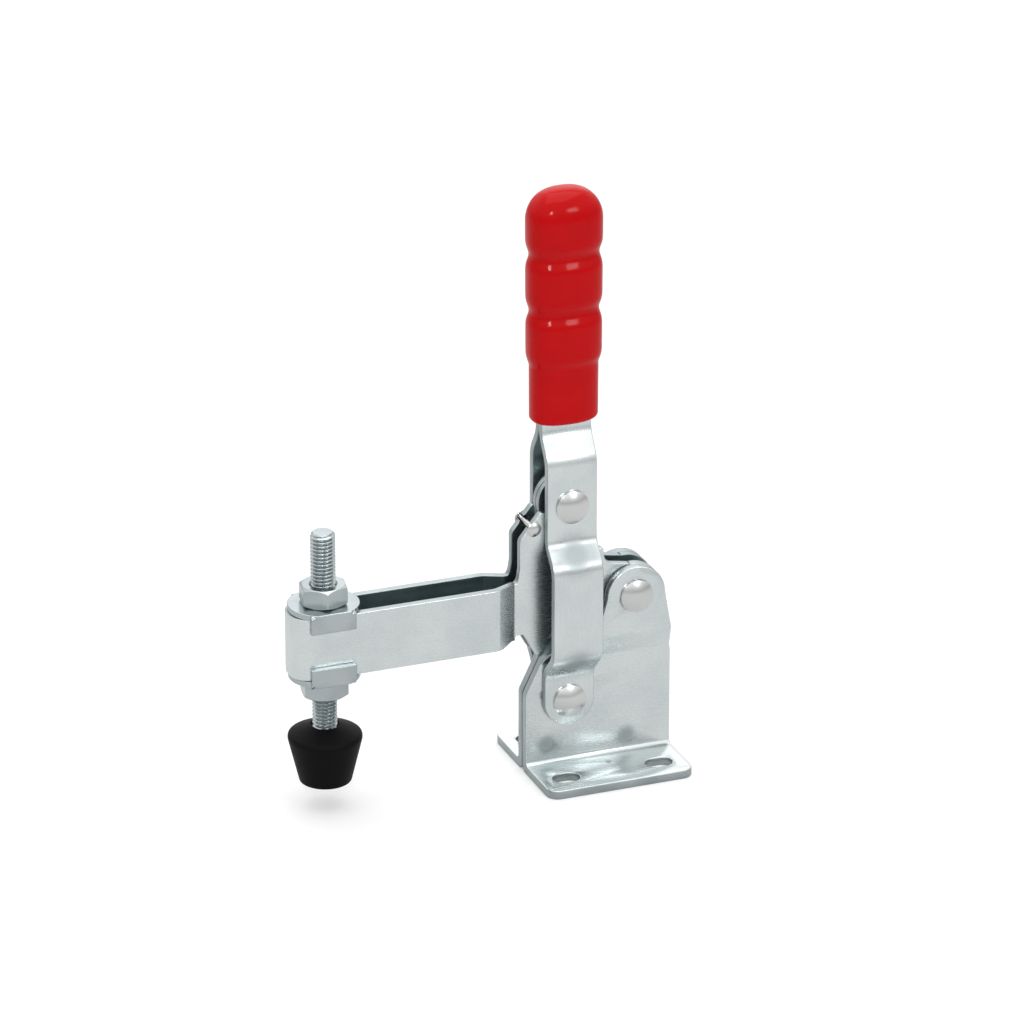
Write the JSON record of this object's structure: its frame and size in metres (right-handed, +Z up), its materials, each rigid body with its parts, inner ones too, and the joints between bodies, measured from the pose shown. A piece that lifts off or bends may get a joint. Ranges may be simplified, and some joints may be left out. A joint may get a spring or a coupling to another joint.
{
  "type": "toggle clamp",
  "caption": "Vertical-handle toggle clamp with a forked handle, slotted clamping arm, rubber-tipped spindle and flat slotted feet.",
  "frame": {"origin": "centre of the four mounting slots, on the underside of the feet", "axes": "+Z up along the handle, -X along the clamping arm to its nose, Y across"},
  "size_m": [0.129, 0.05, 0.2002],
  "materials": {
    "zinc_sheet": "blue-white zinc-plated sheet steel, satin",
    "rivet_steel": "zinc-plated riveted steel, semi-gloss",
    "fastener_steel": "zinc-plated fastener, satin",
    "red_vinyl": "glossy dip-moulded vinyl",
    "black_rubber": "matt moulded rubber"
  },
  "bodies": {
    "base": {"base_front": "zinc_sheet", "base_back": "zinc_sheet", "handle_pivot_rivet": "rivet_steel", "arm_pivot_rivet": "rivet_steel"},
    "handle": {"fork_front": "zinc_sheet", "fork_back": "zinc_sheet", "grip": "red_vinyl", "top_pivot_rivet": "rivet_steel", "top_spacer_front": "rivet_steel", "top_spacer_back": "rivet_steel"},
    "link": {"link_front": "zinc_sheet", "link_back": "zinc_sheet", "link_pin": "rivet_steel"},
    "arm": {"clamp_arm": "zinc_sheet", "arm_stop_rivet": "rivet_steel", "arm_pivot_bush": "rivet_steel", "link_stud_front": "rivet_steel", "link_stud_back": "rivet_steel", "upper_washer": "zinc_sheet", "lower_washer": "zinc_sheet", "upper_nut": "fastener_steel", "lower_nut": "fastener_steel", "spindle": "fastener_steel", "pad": "black_rubber"}
  },
  "joints": [
    {"name": "handle_swing", "type": "hinge", "parent": "base", "child": "handle", "pos_m": [-0.011, 0, 0.025], "axis": [0, 1, 0], "range_deg": [0, 60]},
    {"name": "arm_swing", "type": "hinge", "parent": "base", "child": "arm", "pos_m": [0.011, 0, 0.059], "axis": [0, 1, 0], "range_deg": [0, 115.1]},
    {"name": "link_swing", "type": "hinge", "parent": "handle", "child": "link", "pos_m": [-0.011, 0, 0.093], "axis": [0, 1, 0], "range_deg": [0, 65.8]}
  ],
  "couplings": [
    {"joint": "arm_swing", "follows": "handle_swing", "ratio": 1.9183},
    {"joint": "link_swing", "follows": "handle_swing", "ratio": 1.0967}
  ]
}
